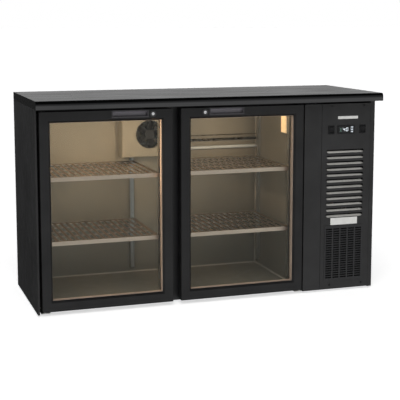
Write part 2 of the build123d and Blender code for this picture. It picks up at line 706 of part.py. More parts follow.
def rocker(center):
    """Paddle tilted with its upper half out, on two pins."""
    rise = 12.4 * math.tan(math.radians(ROCKER_TILT))
    outline = [(-8.5 + rise, -12.4), (-8.5, 0), (-8.5 + rise, 12.4), (-1, 12.4), (3, 3), (3, -3), (-1, -12.4)]
    paddle = prism_x(outline, (-9.7, 9.7))
    paddle += rod((-11.2, 0, 0), (11.2, 0, 0), 1.5)
    return Pos(center, ROCKER_PIVOT_Y, CONTROL_Z) * Rot(ROCKER_TILT, 0, 0) * paddle


def blank_plates():
    """Badge, rating plate and a label on the back, all without any marking."""
    badge = block((1280, 1373), (-1, 0), (741, 753))
    badge = fillet(badge.edges().filter_by(Axis.Y), 3)
    plate = block((1253, 1378), (-0.5, 0), (289, 319))
    plate = fillet(plate.edges().filter_by(Axis.Y), 2)
    label = block((1190, 1280), (BACK + SHEET, BACK + SHEET + 0.5), (190, 250))
    label = fillet(label.edges().filter_by(Axis.Y), 2)
    return [badge, plate, label]


def power_inlet():
    """Recessed inlet, flush with the back panel, with three pins."""
    face = BACK + SHEET
    body = block(INLET_X, (485, face), INLET_Z)
    well = block((INLET_X[0] + 3, INLET_X[1] - 3), (493, face), (INLET_Z[0] + 3, INLET_Z[1] - 3))
    pins = [block((x - 1, x + 1), (493, 508), (z - 2.5, z + 2.5)) for x, z in ((1373, 88), (1387, 88), (1380, 94))]
    return body - well + pins


# ---- write every node
def write_cabinet():
    write("side_panel_left", side_panel_left())
    write("side_panel_right", side_panel_right())
    write("back_panel", *back_panel())
    write("base_pan", base_pan())
    write("rubber_feet", *levelling_feet(), *compressor_feet())
    write("insulation", insulation())
    write("inner_liner", inner_liner())
    write("front_frame", front_frame())
    write("center_post", center_post())
    write("machine_wall", machine_wall())
    skin, core = worktop()
    write("worktop_skin", skin)
    write("worktop_core", core)


def write_door(side, place, lock_x):
    """One door; place mirrors the pieces for the right side."""
    write(f"door_frame_{side}", place(door_frame(lock_x)))
    write(f"glass_panes_{side}", *[place(pane) for pane in glass_panes()])
    write(f"glass_spacer_{side}", place(glass_spacer()))
    write(f"glazing_bead_{side}", place(glazing_bead()))
    write(f"door_gasket_{side}", place(door_gasket()))
    write(f"grip_insert_{side}", place(grip_insert(lock_x)))
    write(f"lock_barrel_{side}", place(lock_barrel(lock_x)))
    write(f"lock_plug_{side}", place(lock_plug(lock_x)))
    write(f"lock_cam_{side}", place(lock_cam(lock_x)))
    write(f"closer_bar_{side}", place(closer_bar()))


def write_interior():
    shelves = [piece for top in SHELF_TOPS for piece in both_sides(shelf(top))]
    write("shelves", *shelves)
    supports = [wall_pilaster(WALL_X[0], (63, 83)), wall_pilaster(WALL_X[0], (415, 435)),
                post_pilaster(), back_pilaster()]
    supports += [clip for top in SHELF_TOPS for clip in shelf_clips(top)]
    write("shelf_supports", *[piece for support in supports for piece in both_sides(support)])
    write("lamp_housings", *both_sides(lamp_housing()))
    write("lamp_lenses", *both_sides(lamp_lens()))
    write("evaporator_cover", evaporator_cover())
    coil_x = (EVAP_X[0] + 10, EVAP_X[1] - 12)
    write("evaporator_coil", finned_coil(coil_x, (438, 450), (570, 750), 8, 6))
    write("evaporator_fan_motor", fan_motor(MIDDLE, EVAP_FAN_Z, (401.5, 403.5), (403.5, 420), 431, 21, 68))
    write("evaporator_fan_rotor", fan_rotor(MIDDLE, EVAP_FAN_Z, (422, 434), 58, 13, 5))


def write_machine_bay():
    write("compressor", compressor())
    write("condenser", condenser())
    write("condenser_fan_motor", condenser_shroud())
    x, z = CONDENSER_FAN
    write("condenser_fan_rotor", fan_rotor(x, z, (141, 163), 82, 20, 5))
    write("refrigerant_pipes", *refrigerant_pipes())
    write("drain_tube", drain_tube())
    write("machine_panel", *machine_panel())
    write("filter_grille", filter_grille())
    write("power_inlet", power_inlet())


def write_controls():
    write("thermostat_case", thermostat_case())
    write("thermostat_window", thermostat_window())
    for name, z in zip(("set", "up", "down"), button_heights()):
        write(f"button_{name}", button(z))
    write("rocker_frames", *[rocker_frame(center) for center in ROCKER_X])
    write("rocker_left", rocker(ROCKER_X[0]))
    write("rocker_right", rocker(ROCKER_X[1]))
    write("blank_plates", *blank_plates())


write_cabinet()
write_door("left", lambda piece: piece, LOCK_LEFT_X)
write_door("right", mirrored, 2 * MIDDLE - LOCK_RIGHT_X)
write("brackets", *brackets())
write("screws", *screws())
write_interior()
write_machine_bay()
write_controls()
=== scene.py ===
import math
import bmesh
import bpy
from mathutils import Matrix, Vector

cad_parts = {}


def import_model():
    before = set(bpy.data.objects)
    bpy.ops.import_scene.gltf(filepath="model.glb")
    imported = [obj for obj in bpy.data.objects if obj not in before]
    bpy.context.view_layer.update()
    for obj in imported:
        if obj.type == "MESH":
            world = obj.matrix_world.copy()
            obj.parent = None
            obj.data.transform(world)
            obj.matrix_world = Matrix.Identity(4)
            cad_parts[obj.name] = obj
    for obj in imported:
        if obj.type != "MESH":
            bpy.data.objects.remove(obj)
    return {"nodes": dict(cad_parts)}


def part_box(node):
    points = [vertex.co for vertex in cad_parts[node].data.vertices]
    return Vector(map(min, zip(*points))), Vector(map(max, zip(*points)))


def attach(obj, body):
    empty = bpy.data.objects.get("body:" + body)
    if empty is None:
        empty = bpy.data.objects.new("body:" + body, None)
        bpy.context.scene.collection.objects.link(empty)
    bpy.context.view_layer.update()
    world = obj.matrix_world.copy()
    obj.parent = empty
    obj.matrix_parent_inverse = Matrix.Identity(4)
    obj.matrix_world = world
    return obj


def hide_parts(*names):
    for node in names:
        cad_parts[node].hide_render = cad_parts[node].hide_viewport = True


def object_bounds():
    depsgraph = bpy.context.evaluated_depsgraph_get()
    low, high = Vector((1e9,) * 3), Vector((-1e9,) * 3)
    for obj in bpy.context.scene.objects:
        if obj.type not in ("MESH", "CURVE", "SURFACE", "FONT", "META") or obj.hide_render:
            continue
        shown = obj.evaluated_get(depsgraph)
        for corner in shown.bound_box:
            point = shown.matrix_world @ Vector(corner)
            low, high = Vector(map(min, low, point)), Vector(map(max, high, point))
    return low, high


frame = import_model()
CAD_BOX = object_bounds()
MM = 0.001
LEFT = CAD_BOX[0].x
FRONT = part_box("machine_panel")[0].y


def at(x, y, z):
    """World place of a point in millimetres from the left end, the door fronts and the floor."""
    return Vector((LEFT + x * MM, FRONT + y * MM, z * MM))


def mm_box(node):
    """A node's lowest and highest corners in the millimetres that at() takes."""
    low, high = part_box(node)
    shift = Vector((LEFT, FRONT, 0))
    return (low - shift) / MM, (high - shift) / MM


# ---- materials
EDGE_SHARP = 0.75       # cosine between the rounded and the real normal where wear is full
EDGE_FLAT = 0.995       # and where there is none
GLASS_FACING = 0.008    # share of light that a pane mirrors seen square on
GLASS_GRAZING = 0.6     # and the share added at a grazing angle
NOSE_SHADE_BACK = FRONT - 0.034   # painted shade darkens the worktop's nose forwards from this plane
NOSE_SHADE_FADE_Y = 0.003     # within this depth
NOSE_SHADE_LOW = 0.830        # and upwards from this height
NOSE_SHADE_FADE_Z = 0.005     # within this rise
BACKING_THICK = 0.001   # black sheet on the underside of the worktop's board
BRACKET_SHADE_HEIGHTS = (0.4, 0.5)     # painted shade: brackets under the worktop turn from zinc to black between these heights


class Look:
    """A Principled material in object space, with procedural detail added step by step."""

    def __init__(self, name, color, rough, metallic=0.0, specular=0.5):
        self.mat = bpy.data.materials.new(name)
        self.mat.use_nodes = True
        self.tree = self.mat.node_tree
        self.shader = self.tree.nodes["Principled BSDF"]
        self.place = self.add("ShaderNodeTexCoord").outputs["Object"]
        self.rough = rough
        self.set("Base Color", (*color, 1))
        self.set("Roughness", rough)
        self.set("Metallic", metallic)
        self.set("Specular IOR Level", specular)
        self.color = None
        self.base = color
        self.normal = None

    def add(self, kind, **inputs):
        node = self.tree.nodes.new(kind)
        for key, value in inputs.items():
            node.inputs[key.replace("_", " ")].default_value = value
        return node

    def set(self, socket, value):
        self.shader.inputs[socket].default_value = value

    def link(self, source, target):
        self.tree.links.new(source, target)

    def coordinate(self, axis):
        """Place along one axis, in metres."""
        split = self.add("ShaderNodeSeparateXYZ")
        self.link(self.place, split.inputs[0])
        return split.outputs[axis]

    def noise(self, scale, detail=2.0, stretch=(1, 1, 1)):
        """Soft noise; scale is in features per metre."""
        mapping = self.add("ShaderNodeMapping", Scale=stretch)
        self.link(self.place, mapping.inputs["Vector"])
        texture = self.add("ShaderNodeTexNoise", Scale=scale, Detail=detail)
        self.link(mapping.outputs[0], texture.inputs["Vector"])
        return texture.outputs[0]

    def cells(self, scale):
        """A grey of its own for each cell; scale is in cells per metre."""
        texture = self.add("ShaderNodeTexVoronoi", Scale=scale)
        self.link(self.place, texture.inputs["Vector"])
        gray = self.add("ShaderNodeSeparateColor")
        self.link(texture.outputs["Color"], gray.inputs[0])
        return gray.outputs[0]

    def math(self, operation, first, second):
        """Math node on a socket and either a number or another socket."""
        node = self.add("ShaderNodeMath")
        node.operation = operation
        self.link(first, node.inputs[0])
        if isinstance(second, float):
            node.inputs[1].default_value = second
        else:
            self.link(second, node.inputs[1])
        return node.outputs[0]

    def remap(self, value, low, high, out_low, out_high):
        """Carries low to high over to out_low to out_high, and holds it there beyond."""
        node = self.add("ShaderNodeMapRange")
        for index, number in enumerate((low, high, out_low, out_high), start=1):
            node.inputs[index].default_value = number
        self.link(value, node.inputs[0])
        return node.outputs[0]

    def tint(self, factor, color, low=0.35, high=0.65, strength=1.0):
        """Mixes another colour in where factor is high."""
        mix = self.add("ShaderNodeMix")
        mix.data_type = "RGBA"
        self.link(self.remap(factor, low, high, 0.0, strength), mix.inputs[0])
        if self.color is None:
            mix.inputs[6].default_value = (*self.base, 1)
        else:
            self.link(self.color, mix.inputs[6])
        mix.inputs[7].default_value = (*color, 1)
        self.color = mix.outputs[2]
        self.link(self.color, self.shader.inputs["Base Color"])
        return self

    def uneven(self, factor, spread, low=0.3, high=0.7):
        """Roughness that varies about its middle."""
        value = self.remap(factor, low, high, self.rough - spread, self.rough + spread)
        self.link(value, self.shader.inputs["Roughness"])
        return self

    def bump(self, height, strength, distance):
        """Relief on top of any already there; distance is its depth in metres."""
        node = self.add("ShaderNodeBump", Strength=strength, Distance=distance)
        self.link(height, node.inputs["Height"])
        if self.normal is not None:
            self.link(self.normal, node.inputs["Normal"])
        self.normal = node.outputs[0]
        self.link(self.normal, self.shader.inputs["Normal"])
        return self

    def round_edges(self, radius, wear=None, strength=0.5):
        """Rounds sharp edges in shading, and wears them to a lighter colour."""
        node = self.add("ShaderNodeBevel", Radius=radius)
        node.samples = 4
        self.normal = node.outputs[0]
        self.link(self.normal, self.shader.inputs["Normal"])
        if wear is None:
            return self
        geometry = self.add("ShaderNodeNewGeometry")
        dot = self.add("ShaderNodeVectorMath")
        dot.operation = "DOT_PRODUCT"
        self.link(node.outputs[0], dot.inputs[0])
        self.link(geometry.outputs["Normal"], dot.inputs[1])
        edge = self.remap(dot.outputs["Value"], EDGE_SHARP, EDGE_FLAT, 1.0, 0.0)
        return self.tint(edge, wear, 0.0, 1.0, strength)

    def glow(self, color, strength):
        """The surface's own light."""
        self.set("Emission Color", (*color, 1))
        self.set("Emission Strength", strength)
        return self


def paint(name, color, rough, specular=0.4, grain=900, wear=(0.12, 0.12, 0.12)):
    """Fine-textured coating with soft unevenness and slightly rubbed edges."""
    look = Look(name, color, rough, specular=specular)
    look.round_edges(0.0012, wear, 0.45)
    lighter = tuple(min(1, c * 1.35 + 0.002) for c in color)
    look.tint(look.noise(6, 3), lighter, strength=0.8)
    look.tint(look.noise(grain * 1.3, 2), tuple(c * 0.55 for c in color), 0.5, 0.72, 0.6)
    look.uneven(look.noise(22, 4), 0.06)
    look.bump(look.noise(grain, 3), 0.35, 0.00025)
    return look.bump(look.noise(160, 2), 0.1, 0.0006)


def metal(name, color, rough, grain_axis=0, grain=900, scratches=0.5, wear=None):
    """Rolled or brushed metal; its grain runs along one axis."""
    stretch = [1.0, 1.0, 1.0]
    stretch[grain_axis] = 0.02
    look = Look(name, color, rough, metallic=1.0)
    look.round_edges(0.0008, wear)
    streaks = look.noise(grain, 4, stretch)
    look.tint(streaks, tuple(c * 0.72 for c in color), 0.35, 0.7, scratches)
    look.tint(look.noise(7, 3), tuple(c * 0.85 for c in color), 0.45, 0.75, 0.5)
    look.uneven(look.noise(grain * 0.5, 3, stretch), 0.07)
    return look.bump(streaks, 0.12, 0.0002)


def galvanised_look():
    """Zinc coat with its spangle."""
    look = Look("galvanised_look", (0.42, 0.44, 0.46), 0.42, metallic=0.8)
    look.round_edges(0.001)
    spangle = look.cells(95)
    look.tint(spangle, (0.6, 0.62, 0.64), 0.0, 1.0, 0.5)
    look.tint(look.noise(9, 4), (0.34, 0.35, 0.36), 0.5, 0.75, 0.3)
    look.uneven(spangle, 0.06, 0.0, 1.0)
    return look.bump(look.noise(240, 3), 0.08, 0.0004)


def plastic(name, color, rough, specular=0.5):
    """Moulded plastic with a fine grain."""
    look = Look(name, color, rough, specular=specular)
    look.round_edges(0.0008)
    look.tint(look.noise(14, 3), tuple(min(1, c * 1.25 + 0.002) for c in color), strength=0.7)
    look.uneven(look.noise(60, 3), 0.05)
    return look.bump(look.noise(1400, 2), 0.25, 0.0002)


def glass_look():
    """Clear pane: see-through, with a reflection that grows towards grazing."""
    look = Look("glass_look", (0.92, 0.96, 0.95), 0.04, metallic=1.0)
    smudges = look.noise(11, 5)
    look.link(look.remap(smudges, 0.4, 0.8, 0.03, 0.11), look.shader.inputs["Roughness"])
    clear = look.add("ShaderNodeBsdfTransparent", Color=(0.975, 0.98, 0.97, 1))
    weight = look.add("ShaderNodeLayerWeight", Blend=0.5)
    grazing = look.math("POWER", weight.outputs["Facing"], 4.0)
    share = look.math("ADD", look.math("MULTIPLY", grazing, GLASS_GRAZING), GLASS_FACING)
    mix = look.add("ShaderNodeMixShader")
    look.link(share, mix.inputs[0])
    look.link(clear.outputs[0], mix.inputs[1])
    look.link(look.shader.outputs[0], mix.inputs[2])
    look.link(mix.outputs[0], look.tree.nodes["Material Output"].inputs["Surface"])
    return look


def worktop_look():
    """Black coated steel, drawn along its length, satin; painted shade darkens its rolled nose."""
    look = Look("worktop_look", (0.085, 0.085, 0.087), 0.25, metallic=1.0)
    streaks = look.noise(700, 4, (0.015, 1, 1))
    look.tint(streaks, (0.11, 0.11, 0.112), 0.4, 0.75, 0.6)
    look.tint(look.noise(5, 4), (0.07, 0.07, 0.072), 0.45, 0.7, 0.6)
    look.uneven(look.noise(18, 5, (0.25, 1, 1)), 0.05)
    # painted shade: the front and upper band of the nose is tinted near black
    forward = look.remap(look.coordinate(1), NOSE_SHADE_BACK - NOSE_SHADE_FADE_Y, NOSE_SHADE_BACK, 1.0, 0.0)
    high = look.remap(look.coordinate(2), NOSE_SHADE_LOW, NOSE_SHADE_LOW + NOSE_SHADE_FADE_Z, 0.0, 1.0)
    look.tint(look.math("MULTIPLY", forward, high), (0.03, 0.03, 0.031), 0.0, 1.0)
    look.bump(streaks, 0.1, 0.0001)
    return look.bump(look.noise(9, 2), 0.05, 0.004)


def lens_look():
    """Warm translucent diffuser, lit from behind."""
    look = Look("lens_look", (0.95, 0.72, 0.42), 0.35)
    look.bump(look.noise(300, 2), 0.2, 0.0003)
    return look.glow((1.0, 0.70, 0.42), 0.34)


def chipboard_look():
    """Raw chipboard with a black backing sheet on its underside."""
    look = Look("chipboard_look", (0.42, 0.3, 0.18), 0.8)
    flakes = look.cells(260)
    look.tint(flakes, (0.6, 0.47, 0.3), 0.0, 1.0, 0.9)
    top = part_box("worktop_core")[0].z + BACKING_THICK
    underside = look.remap(look.coordinate(2), top, top + 0.0005, 1.0, 0.0)
    look.tint(underside, (0.012, 0.012, 0.012), 0.0, 1.0)
    return look.bump(flakes, 0.15, 0.0003)


def foam_look():
    look = Look("foam_look", (0.75, 0.64, 0.36), 0.9)
    look.tint(look.noise(40, 5), (0.6, 0.48, 0.22), strength=0.8)
    return look.bump(look.noise(500, 3), 0.5, 0.0008)


def copper_look():
    """Tarnished copper in the machine bay; taped over where it crosses the store."""
    look = Look("copper_look", (0.16, 0.15, 0.13), 0.28, metallic=1.0)
    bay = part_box("machine_wall")[0].x
    look.tint(look.coordinate(0), (0.72, 0.36, 0.2), bay - 0.001, bay)
    look.tint(look.noise(30, 4), (0.12, 0.09, 0.07), 0.45, 0.75, 0.5)
    look.uneven(look.noise(80, 3), 0.1)
    return look


def liner_look():
    """Coated aluminium sheet with a faint stucco emboss."""
    look = Look("liner_look", (0.20, 0.185, 0.155), 0.42, metallic=0.35)
    look.tint(look.noise(4, 3), (0.165, 0.155, 0.13), strength=0.8)
    stucco = look.noise(190, 2)
    look.tint(stucco, (0.25, 0.23, 0.195), 0.5, 0.75, 0.4)
    look.uneven(look.noise(30, 3), 0.05)
    return look.bump(stucco, 0.22, 0.0006)


def screw_look():
    """Bright zinc at the back, black in front."""
    look = Look("screw_look", (0.03, 0.03, 0.03), 0.35, metallic=0.9)
    look.round_edges(0.0004)
    look.tint(look.coordinate(1), (0.66, 0.66, 0.64), 0.0, 0.01)
    return look.uneven(look.noise(600, 3), 0.08)


def bracket_look():
    """Zinc hinges, with painted shade turning the upper ones under the worktop black."""
    look = Look("bracket_look", (0.68, 0.68, 0.66), 0.3, metallic=1.0)
    look.round_edges(0.0008, (0.85, 0.85, 0.82))
    look.tint(look.noise(300, 4, (0.05, 1, 1)), (0.5, 0.5, 0.49), 0.4, 0.7, 0.4)
    # painted shade: brackets high up under the worktop are tinted black
    look.tint(look.coordinate(2), (0.012, 0.012, 0.012), *BRACKET_SHADE_HEIGHTS)
    return look.uneven(look.noise(300, 3), 0.08)


def grip_look():
    """Moulded grip: grey inside the scoop, darker on its flange."""
    look = Look("grip_look", (0.045, 0.043, 0.048), 0.3, specular=0.4)
    look.round_edges(0.0006)
    look.tint(look.coordinate(1), (0.17, 0.16, 0.18), FRONT, FRONT + 0.002)
    look.uneven(look.noise(60, 3), 0.05)
    return look.bump(look.noise(1400, 2), 0.25, 0.0002)


def rubber_look():
    look = Look("rubber_look", (0.02, 0.02, 0.021), 0.62, specular=0.35)
    look.tint(look.noise(25, 4), (0.035, 0.035, 0.036), strength=0.8)
    look.uneven(look.noise(60, 3), 0.08)
    return look.bump(look.noise(700, 3), 0.25, 0.0003)


def felt_look():
    """Dark filter fleece."""
    look = Look("felt_look", (0.012, 0.012, 0.013), 0.95, specular=0.1)
    fibres = look.noise(900, 4, (0.15, 1, 1))
    look.tint(fibres, (0.03, 0.03, 0.032), 0.45, 0.7, 0.8)
    return look.bump(fibres, 0.5, 0.0005)


def film_look():
    look = Look("film_look", (0.72, 0.72, 0.7), 0.35, metallic=0.15)
    look.tint(look.noise(40, 3), (0.62, 0.62, 0.6), strength=0.7)
    look.uneven(look.noise(90, 3), 0.06)
    return look.bump(look.noise(500, 2), 0.08, 0.0002)


LOOKS = {
    "body": paint("body_look", (0.018, 0.018, 0.0185), 0.42, specular=0.3),
    "panel": paint("panel_look", (0.019, 0.019, 0.0195), 0.48, specular=0.35),
    "door": paint("door_look", (0.012, 0.012, 0.0125), 0.38, specular=0.27, grain=1200),
    "trim": plastic("trim_look", (0.008, 0.008, 0.009), 0.4),
    "black_plastic": plastic("black_plastic_look", (0.012, 0.012, 0.013), 0.42),
    "control": plastic("control_look", (0.003, 0.003, 0.0035), 0.3, specular=0.25),
    "grip": grip_look(),
    "black_paint": paint("black_paint_look", (0.012, 0.012, 0.012), 0.3, specular=0.5),
    "grey_plastic": plastic("grey_plastic_look", (0.3, 0.33, 0.36), 0.4),
    "galvanised": galvanised_look(),
    "worktop": worktop_look(),
    "board": chipboard_look(),
    "foam": foam_look(),
    "zinc": metal("zinc_look", (0.68, 0.68, 0.66), 0.3, 0, 500, 0.4, (0.85, 0.85, 0.82)),
    "lock": plastic("lock_look", (0.02, 0.02, 0.021), 0.3, specular=0.6),
    "chrome": metal("chrome_look", (0.86, 0.87, 0.88), 0.12, 2, 400, 0.25),
    "aluminium": metal("aluminium_look", (0.74, 0.74, 0.73), 0.32, 2, 700, 0.45),
    "liner": liner_look(),
    "shelf": metal("shelf_look", (0.74, 0.61, 0.52), 0.4, 0, 600, 0.5, (0.86, 0.72, 0.62)),
    "screw": screw_look(),
    "bracket": bracket_look(),
    "lens": lens_look(),
    "bead": plastic("bead_look", (0.5, 0.38, 0.31), 0.5),
    "display": plastic("display_look", (0.006, 0.008, 0.008), 0.12),
    "film": film_look(),
    "rubber": rubber_look(),
    "copper": copper_look(),
    "glass": glass_look(),
    # painted highlight: the lips' pale colour stands in for the light their upward faces catch
    "louvre": paint("louvre_painted_highlight_look", (0.40, 0.395, 0.37), 0.45, wear=(0.6, 0.6, 0.58)),
    "digit": plastic("digit_look", (0.7, 0.74, 0.78), 0.4).glow((0.85, 0.93, 1.0), 1.2),
    "icon": plastic("icon_look", (0.1, 0.2, 0.16), 0.4).glow((0.4, 0.8, 0.6), 0.25),
    "felt": felt_look(),
    "seal": plastic("seal_look", (0.3, 0.28, 0.25), 0.5),
}

LOOK_OF = {
    "side_panel_left": "body", "side_panel_right": "body", "back_panel": "galvanised",
    "base_pan": "galvanised", "rubber_feet": "rubber", "insulation": "foam",
    "inner_liner": "liner", "front_frame": "trim", "center_post": "trim",
    "machine_wall": "galvanised", "worktop_skin": "worktop", "worktop_core": "board",
    "brackets": "bracket", "screws": "screw", "shelves": "shelf",
    "shelf_supports": "aluminium", "lamp_housings": "liner", "lamp_lenses": "lens",
    "evaporator_cover": "liner", "evaporator_coil": "aluminium",
    "evaporator_fan_motor": "black_plastic", "evaporator_fan_rotor": "black_plastic",
    "drain_tube": "grey_plastic", "compressor": "black_paint", "condenser": "black_paint",
    "condenser_fan_motor": "galvanised", "condenser_fan_rotor": "black_plastic",
    "refrigerant_pipes": "copper", "machine_panel": "panel",
    "filter_grille": "black_plastic", "power_inlet": "black_plastic",
    "thermostat_case": "control", "thermostat_window": "display",
    "rocker_frames": "control", "rocker_left": "control", "rocker_right": "control",
    "blank_plates": "film", "button_set": "grey_plastic", "button_up": "grey_plastic",
    "button_down": "grey_plastic",
}
SIDES = ("left", "right")
for side in SIDES:
    LOOK_OF[f"door_frame_{side}"] = "door"
    LOOK_OF[f"grip_insert_{side}"] = "grip"
    LOOK_OF[f"glass_panes_{side}"] = "glass"
    LOOK_OF[f"glass_spacer_{side}"] = "bead"
    LOOK_OF[f"glazing_bead_{side}"] = "bead"
    LOOK_OF[f"door_gasket_{side}"] = "rubber"
    LOOK_OF[f"lock_barrel_{side}"] = "lock"
    LOOK_OF[f"lock_plug_{side}"] = "chrome"
    LOOK_OF[f"lock_cam_{side}"] = "zinc"
    LOOK_OF[f"closer_bar_{side}"] = "zinc"


for name, obj in frame["nodes"].items():
    obj.data.materials.clear()
    obj.data.materials.append(LOOKS[LOOK_OF[name]].mat)


# ---- pieces
def finish_piece(name, bm, body, look):
    """Turns a bmesh into a piece with a look of LOOKS, riding on a body."""
    bmesh.ops.recalc_face_normals(bm, faces=bm.faces)
    mesh = bpy.data.meshes.new(name)
    bm.to_mesh(mesh)
    bm.free()
    obj = bpy.data.objects.new(name, mesh)
    bpy.context.scene.collection.objects.link(obj)
    mesh.materials.append(LOOKS[look].mat)
    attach(obj, body)
    return obj


def add_block(bm, low, high):
    """Box between two corners in at() millimetres."""
    made = bmesh.ops.create_cube(bm, size=1.0)["verts"]
    a, b = at(*low), at(*high)
    for vert in made:
        vert.co = Vector([a[i] + (vert.co[i] + 0.5) * (b[i] - a[i]) for i in range(3)])


def add_prism(bm, outline, place, steps):
    """Solid through an outline at each step; place(point, step) gives a corner's position."""
    rings = [[bm.verts.new(place(point, step)) for point in outline] for step in steps]
    count = len(outline)
    for ring, following in zip(rings, rings[1:]):
        for index in range(count):
            nxt = (index + 1) % count
            bm.faces.new((ring[index], ring[nxt], following[nxt], following[index]))
    bm.faces.new(rings[0])
    bm.faces.new(rings[-1][::-1])


CORNER_STEPS = 4
SMALLEST_CORNER = 0.15


def rounded_ring(x, z, radius):
    """Points of a rounded rectangle in the front view."""
    radius = max(radius, SMALLEST_CORNER)
    corners = [(x[1] - radius, z[1] - radius, 0), (x[0] + radius, z[1] - radius, 90),
               (x[0] + radius, z[0] + radius, 180), (x[1] - radius, z[0] + radius, 270)]
    points = []
    for cx, cz, start in corners:
        for step in range(CORNER_STEPS + 1):
            turn = math.radians(start + 90 * step / CORNER_STEPS)
            points.append((cx + radius * math.cos(turn), cz + radius * math.sin(turn)))
    return points


def add_frame_sweep(bm, profile, x, z, radius):
    """Sweeps a closed profile of (inset, y) round a rectangle with rounded corners."""
    rings = []
    for inset, y in profile:
        width, height = (x[0] + inset, x[1] - inset), (z[0] + inset, z[1] - inset)
        ring = rounded_ring(width, height, radius - inset)
        rings.append([bm.verts.new(at(px, y, pz)) for px, pz in ring])
    count = len(rings[0])
    for index in range(len(rings)):
        ring, following = rings[index], rings[(index + 1) % len(rings)]
        for step in range(count):
            nxt = (step + 1) % count
            bm.faces.new((ring[step], ring[nxt], following[nxt], following[step]))


GASKET_CORNER = 2.5
GASKET_PROFILE = (  # inset from the gasket's outline, height over its base
    (0, 0), (0, 1.4), (2.6, 2.2), (1.2, 3.5), (2.9, 4.6), (0.8, 5.5), (0.5, 6.4), (0.5, 8.6),
    (1.3, 9.4), (12.7, 9.4), (13.5, 8.6), (13.5, 6.4), (13.2, 5.5), (11.1, 4.6), (12.8, 3.5),
    (11.4, 2.2), (14, 1.4), (14, 0),
)


def bellows_gasket(side):
    """Magnetic door seal: base, one bellows fold and the magnet pocket."""
    low, high = mm_box(f"door_gasket_{side}")
    profile = [(inset, low.y + y) for inset, y in GASKET_PROFILE]
    bm = bmesh.new()
    add_frame_sweep(bm, profile, (low.x, high.x), (low.z, high.z), GASKET_CORNER)
    gasket = finish_piece(f"seal_{side}", bm, f"door_{side}", "rubber")
    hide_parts(f"door_gasket_{side}")


LOUVRE_X = (1233.5, 1400.5)
LOUVRE_TOP = 598.5
LOUVRE_PITCH = 25.0
LOUVRE_COUNT = 12
LOUVRE_PROFILE = (  # depth and height of the lip's section
    (-0.35, -0.75), (-0.75, -0.35), (-0.75, 0.15), (-0.35, 0.5), (0.1, 0.45), (7.7, 7.1),
    (7.9, 6.85), (0.35, 0.1), (0.2, -0.5),
)
LOUVRE_SWEEP = ((0, 1.0), (2, 0.35), (6, 0.05), (12, 0.0))  # distance from an end, how closed
SWEEP_FLATTEN = 0.55    # height lost where the lip closes
SWEEP_RISE = 2.2        # and how far it rises there


def louvre_trims():
    """Folded lips of the louvres, each with a rolled front edge and swept ends; their pale colour
    is a painted highlight.
    """
    x0, x1 = LOUVRE_X
    steps = [(x0 + inset, share) for inset, share in LOUVRE_SWEEP]
    steps += [(x1 - inset, share) for inset, share in reversed(LOUVRE_SWEEP)]
    bm = bmesh.new()
    for index in range(LOUVRE_COUNT):
        bottom = LOUVRE_TOP - LOUVRE_PITCH * index

        def place(point, step):
            x, share = step
            rise = point[1] * (1 - SWEEP_FLATTEN * share) + SWEEP_RISE * share
            return at(x, point[0], bottom + rise)

        add_prism(bm, LOUVRE_PROFILE, place, steps)
    finish_piece("louvre_trims", bm, "cabinet", "louvre")


FILTER_BORDER = 6.0
FILTER_GAP = 0.8        # behind the grille
FILTER_WIRE = 0.45      # half a wire's thickness
FILTER_PITCH = 2.6
FILTER_WEAVE = 0.35     # how far the upright wires step in and out
FILTER_ROW_DEPTH = 1.1  # the level wires behind the upright ones


def filter_mesh():
    """Dust filter of crossed wires just behind the grille."""
    low, high = mm_box("filter_grille")
    x0, x1 = low.x + FILTER_BORDER, high.x - FILTER_BORDER
    z0, z1 = low.z + FILTER_BORDER, high.z - FILTER_BORDER
    front = high.y + FILTER_GAP
    columns = int((x1 - x0) / FILTER_PITCH)
    rows = int((z1 - z0) / FILTER_PITCH)
    wire = FILTER_WIRE
    bm = bmesh.new()
    for column in range(columns + 1):
        x = x0 + column * FILTER_PITCH
        y = front + (FILTER_WEAVE if column % 2 else -FILTER_WEAVE)
        add_block(bm, (x - wire, y - wire, z0), (x + wire, y + wire, z1))
    for row in range(rows + 1):
        z = z0 + row * FILTER_PITCH
        y = front + FILTER_ROW_DEPTH
        add_block(bm, (x0, y - wire, z - wire), (x1, y + wire, z + wire))
    finish_piece("filter_mesh", bm, "cabinet", "black_plastic")


def place_front(point, depth):
    """For add_prism: an outline in the front view, at a depth."""
    return at(point[0], depth, point[1])


SEGMENTS = {
    "a": ((0, 1), (1, 1)), "b": ((1, 1), (1, 0.5)), "c": ((1, 0.5), (1, 0)),
    "d": ((0, 0), (1, 0)), "e": ((0, 0.5), (0, 0)), "f": ((0, 1), (0, 0.5)),
    "g": ((0, 0.5), (1, 0.5)),
}
SEGMENT_HALF = 0.7      # half a bar's width, and the length of its points
SEGMENT_GAP = 0.5       # between a bar's tip and the digit's corner
DIGIT_SIZE = (8, 13)
DIGIT_BASE = 6          # over the window's lower edge
DIGITS = ((19, "fgbc"), (33, "abcdef"))     # place from the window's left edge, bars of 4 and 0
ICON_X = (6, 8, 10)     # a diamond's left corner, middle and right corner
ICON_HALF_HEIGHT = 1.6
ICON_PITCH = 5
ICON_COUNT = 3
PRINT_DEPTHS = (0.02, -0.1)     # lit marks, from just inside the window to just before it


def print_depths(face):
    """Where a lit mark on a window with its face at this depth starts and ends."""
    return [face + depth for depth in PRINT_DEPTHS]


def add_segment(bm, x, z, key, depths):
    """One bar of a seven-segment digit, pointed at both ends."""
    width, height = DIGIT_SIZE
    (ax, az), (bx, bz) = SEGMENTS[key]
    start = Vector((x + ax * width, z + az * height))
    end = Vector((x + bx * width, z + bz * height))
    along = (end - start).normalized()
    side = Vector((-along.y, along.x)) * SEGMENT_HALF
    start, end = start + along * SEGMENT_GAP, end - along * SEGMENT_GAP
    inner_start, inner_end = start + along * SEGMENT_HALF, end - along * SEGMENT_HALF
    outline = [start, inner_start + side, inner_end + side, end, inner_end - side,
               inner_start - side]
    add_prism(bm, outline, place_front, depths)


